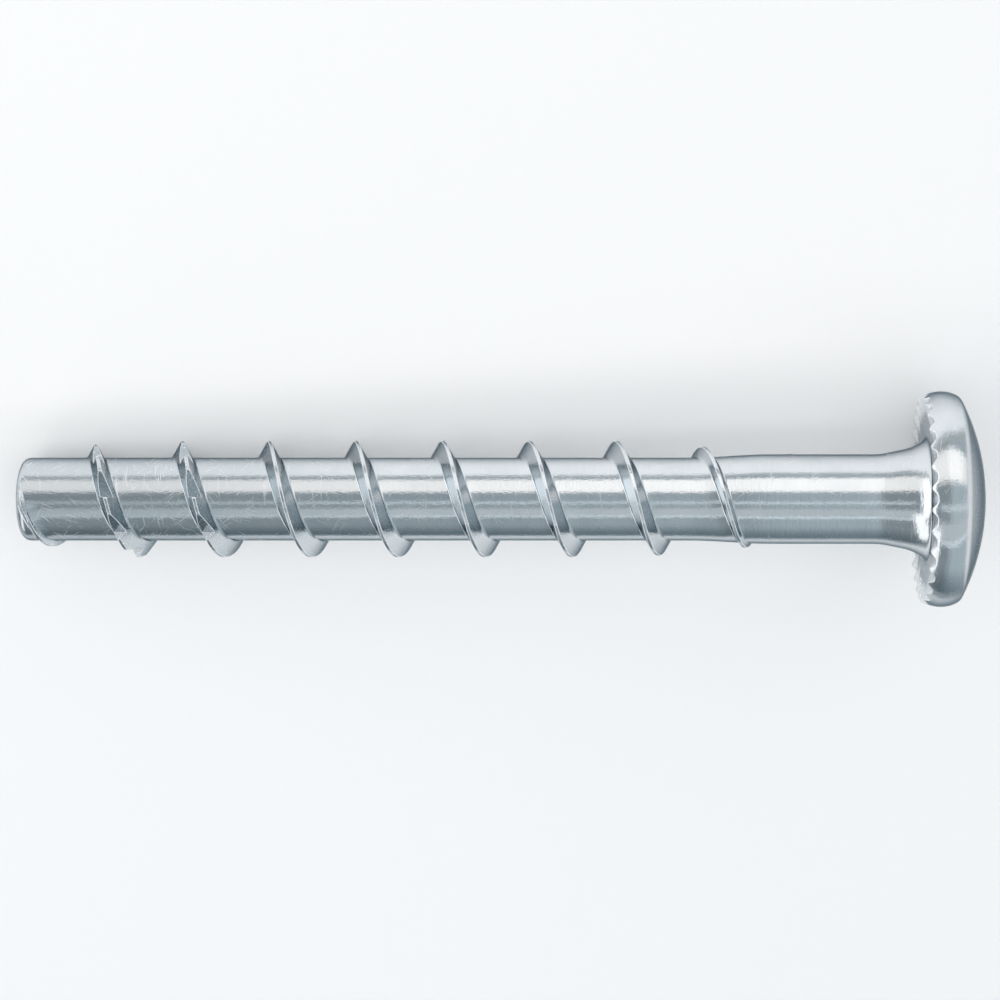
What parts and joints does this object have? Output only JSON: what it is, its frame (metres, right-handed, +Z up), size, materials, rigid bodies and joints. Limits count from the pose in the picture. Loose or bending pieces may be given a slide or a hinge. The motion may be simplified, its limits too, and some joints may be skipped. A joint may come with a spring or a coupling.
{
  "type": "concrete screw",
  "caption": "Pan head concrete screw with a coarse notched thread, plain neck, toothed underside and hexalobular drive.",
  "frame": {"origin": "middle of the box's underside, on the surface that the screw lies on", "axes": "+X along the lying screw towards its head, +Z up; the screw's own axis leans a few degrees because the head is thicker"},
  "size_m": [0.0642, 0.0144, 0.0144],
  "materials": {
    "zinc_plated_steel": "bright bluish zinc plating over rolled steel, lightly scratched"
  },
  "bodies": {
    "root": {"concrete_screw": "zinc_plated_steel"}
  },
  "joints": []
}
